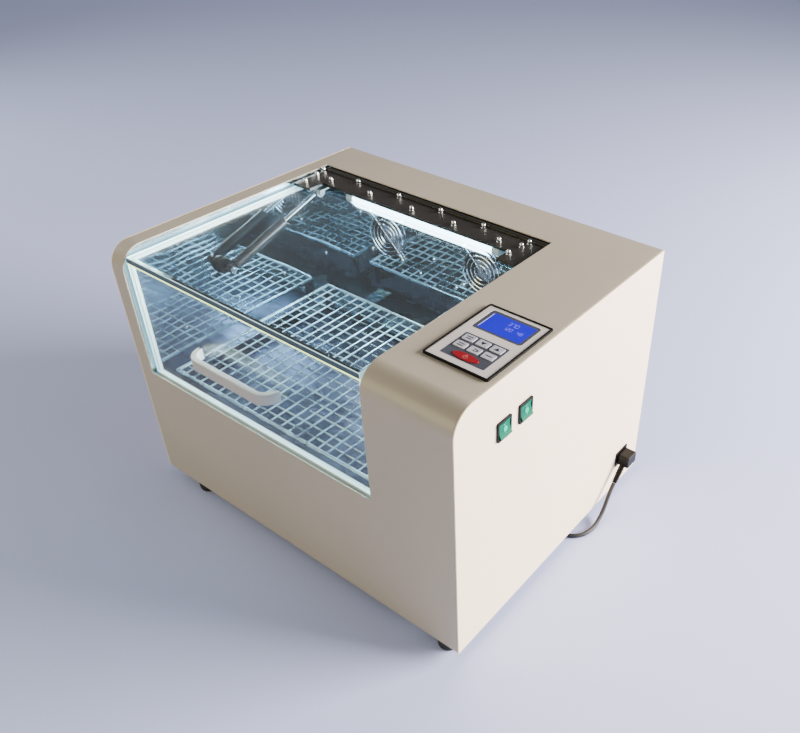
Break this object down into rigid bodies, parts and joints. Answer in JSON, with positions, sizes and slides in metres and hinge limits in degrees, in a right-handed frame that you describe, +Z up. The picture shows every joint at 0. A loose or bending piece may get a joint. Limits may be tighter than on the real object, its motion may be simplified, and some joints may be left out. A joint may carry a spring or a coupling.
{
  "type": "incubated benchtop shaker",
  "caption": "Benchtop shaking incubator: heated steel chamber under a clear hinged lid on a gas strut, orbiting spring platform, side control panel and mains lead.",
  "frame": {"origin": "on the bench, under the middle of the box round the whole machine without its mains lead", "axes": "+X to the user's right, +Y to the back, +Z up; the handle and the front apron face -Y"},
  "size_m": [0.6626, 0.652, 0.4415],
  "materials": {
    "case_paint": "satin warm grey powder coat",
    "side_paint": "satin cream powder coat",
    "foot_rubber": "matt black rubber",
    "polished_steel": "mirror polished stainless sheet",
    "bright_chrome": "bright chrome plate",
    "cast_metal": "cast, lightly rough",
    "clear_acrylic": "clear cast acrylic with polished edges",
    "seal_white": "pale foam rubber",
    "black_plastic": "fine-grained black",
    "light_plastic": "smooth light grey",
    "face_plastic": "pale printed film",
    "key_grey": "pale grey keys",
    "key_red": "red key",
    "rocker_green": "lit translucent green",
    "screen_blue": "backlit blue display",
    "lamp_glass": "frosted white tube",
    "board_green": "circuit board",
    "cord_black": "black cord sheath"
  },
  "bodies": {
    "housing": {"case_wrap": "case_paint", "side_panel_right": "side_paint", "side_panel_left": "side_paint", "rear_panel": "case_paint", "base_plate": "case_paint", "foot_front_left": "foot_rubber", "foot_front_right": "foot_rubber", "foot_rear_left": "foot_rubber", "foot_rear_right": "foot_rubber", "chamber_liner": "polished_steel", "chamber_mouth": "polished_steel", "lid_seal": "seal_white", "hinge_fixed_leaf": "black_plastic", "strut_wall_bracket": "black_plastic", "lamp_tube": "lamp_glass", "lamp_holder": "light_plastic", "fan_guard_left": "bright_chrome", "fan_frame_left": "black_plastic", "fan_guard_right": "bright_chrome", "fan_frame_right": "black_plastic", "heater_element": "cast_metal", "temperature_probe": "bright_chrome", "drive_base": "cast_metal", "drive_motor": "cast_metal", "drive_belt": "foot_rubber", "panel_bezel": "black_plastic", "panel_faceplate": "face_plastic", "lcd_screen": "screen_blue", "control_board": "board_green", "switch_housing_front": "black_plastic", "switch_housing_rear": "black_plastic", "power_inlet": "black_plastic", "cord_connector": "cord_black", "power_cord": "cord_black", "cord_coil": "cord_black", "mains_plug": "cord_black"},
    "lid": {"lid_pane": "clear_acrylic", "hinge_strip": "black_plastic", "lid_handle": "light_plastic", "strut_lid_bracket": "cast_metal"},
    "strut_tube": {"strut_cylinder": "black_plastic"},
    "strut_piston": {"strut_rod": "bright_chrome"},
    "main_crank": {"drive_crank": "cast_metal"},
    "motor_wheel": {"motor_pulley": "cast_metal"},
    "idler_left": {"idler_crank_left": "cast_metal"},
    "idler_right": {"idler_crank_right": "cast_metal"},
    "idler_front": {"idler_crank_front": "cast_metal"},
    "platform": {"platform_tray": "polished_steel", "spring_net": "polished_steel"},
    "fan_left": {"fan_impeller_left": "black_plastic"},
    "fan_right": {"fan_impeller_right": "black_plastic"},
    "switch_front": {"rocker_front": "rocker_green"},
    "switch_rear": {"rocker_rear": "rocker_green"},
    "button_1": {"key_1": "key_grey"},
    "button_2": {"key_2": "key_grey"},
    "button_3": {"key_3": "key_grey"},
    "button_4": {"key_4": "key_grey"},
    "button_5": {"key_5": "key_grey"},
    "button_6": {"key_6": "key_grey"},
    "button_power": {"power_key": "key_red"}
  },
  "joints": [
    {"name": "lid_hinge", "type": "hinge", "parent": "housing", "child": "lid", "pos_m": [-0.06086, 0.166, 0.4325], "axis": [-1, 0, 0], "range_deg": [0, 80]},
    {"name": "strut_turn", "type": "hinge", "parent": "housing", "child": "strut_tube", "pos_m": [-0.27611, -0.07, 0.339], "axis": [1, 0, 0], "range_deg": [0, 14.22]},
    {"name": "strut_slide", "type": "slide", "parent": "strut_tube", "child": "strut_piston", "axis": [0, 0.9515, 0.3076], "range_m": [0, 0.0285]},
    {"name": "drive_spin", "type": "hinge", "parent": "housing", "child": "main_crank", "pos_m": [-0.06511, -0.0235, 0.106], "axis": [0, 0, 1], "continuous": true},
    {"name": "platform_turn", "type": "hinge", "parent": "main_crank", "child": "platform", "pos_m": [-0.06511, -0.0335, 0.166], "axis": [0, 0, 1], "continuous": true},
    {"name": "motor_spin", "type": "hinge", "parent": "housing", "child": "motor_wheel", "pos_m": [0.23689, -0.05, 0.108], "axis": [0, 0, 1], "continuous": true},
    {"name": "idler_left_spin", "type": "hinge", "parent": "housing", "child": "idler_left", "pos_m": [-0.21511, 0.0765, 0.106], "axis": [0, 0, 1], "continuous": true},
    {"name": "idler_right_spin", "type": "hinge", "parent": "housing", "child": "idler_right", "pos_m": [0.08489, 0.0765, 0.106], "axis": [0, 0, 1], "continuous": true},
    {"name": "idler_front_spin", "type": "hinge", "parent": "housing", "child": "idler_front", "pos_m": [-0.06511, -0.1435, 0.106], "axis": [0, 0, 1], "continuous": true},
    {"name": "fan_left_spin", "type": "hinge", "parent": "housing", "child": "fan_left", "pos_m": [-0.17111, 0.205, 0.331], "axis": [0, 1, 0], "continuous": true},
    {"name": "fan_right_spin", "type": "hinge", "parent": "housing", "child": "fan_right", "pos_m": [0.03689, 0.205, 0.331], "axis": [0, 1, 0], "continuous": true},
    {"name": "rocker_front_tilt", "type": "hinge", "parent": "housing", "child": "switch_front", "pos_m": [0.31289, -0.141, 0.362], "axis": [0, 1, 0], "range_deg": [0, 16]},
    {"name": "rocker_rear_tilt", "type": "hinge", "parent": "housing", "child": "switch_rear", "pos_m": [0.31289, -0.096, 0.362], "axis": [0, 1, 0], "range_deg": [0, 16]},
    {"name": "key_1_press", "type": "slide", "parent": "housing", "child": "button_1", "axis": [0, 0, -1], "range_m": [0, 0.0005], "stiffness_N_per_m": 400, "springref_m": -0.001},
    {"name": "key_2_press", "type": "slide", "parent": "housing", "child": "button_2", "axis": [0, 0, -1], "range_m": [0, 0.0005], "stiffness_N_per_m": 400, "springref_m": -0.001},
    {"name": "key_3_press", "type": "slide", "parent": "housing", "child": "button_3", "axis": [0, 0, -1], "range_m": [0, 0.0005], "stiffness_N_per_m": 400, "springref_m": -0.001},
    {"name": "key_4_press", "type": "slide", "parent": "housing", "child": "button_4", "axis": [0, 0, -1], "range_m": [0, 0.0005], "stiffness_N_per_m": 400, "springref_m": -0.001},
    {"name": "key_5_press", "type": "slide", "parent": "housing", "child": "button_5", "axis": [0, 0, -1], "range_m": [0, 0.0005], "stiffness_N_per_m": 400, "springref_m": -0.001},
    {"name": "key_6_press", "type": "slide", "parent": "housing", "child": "button_6", "axis": [0, 0, -1], "range_m": [0, 0.0005], "stiffness_N_per_m": 400, "springref_m": -0.001},
    {"name": "power_key_press", "type": "slide", "parent": "housing", "child": "button_power", "axis": [0, 0, -1], "range_m": [0, 0.0005], "stiffness_N_per_m": 400, "springref_m": -0.001}
  ],
  "couplings": [
    {"joint": "strut_turn", "follows": "lid_hinge", "ratio": 0.17765},
    {"joint": "strut_slide", "follows": "lid_hinge", "m_per_rad": 0.0204},
    {"joint": "platform_turn", "follows": "drive_spin", "ratio": -1},
    {"joint": "motor_spin", "follows": "drive_spin", "ratio": 3.5},
    {"joint": "idler_left_spin", "follows": "drive_spin", "ratio": 1},
    {"joint": "idler_right_spin", "follows": "drive_spin", "ratio": 1},
    {"joint": "idler_front_spin", "follows": "drive_spin", "ratio": 1}
  ]
}
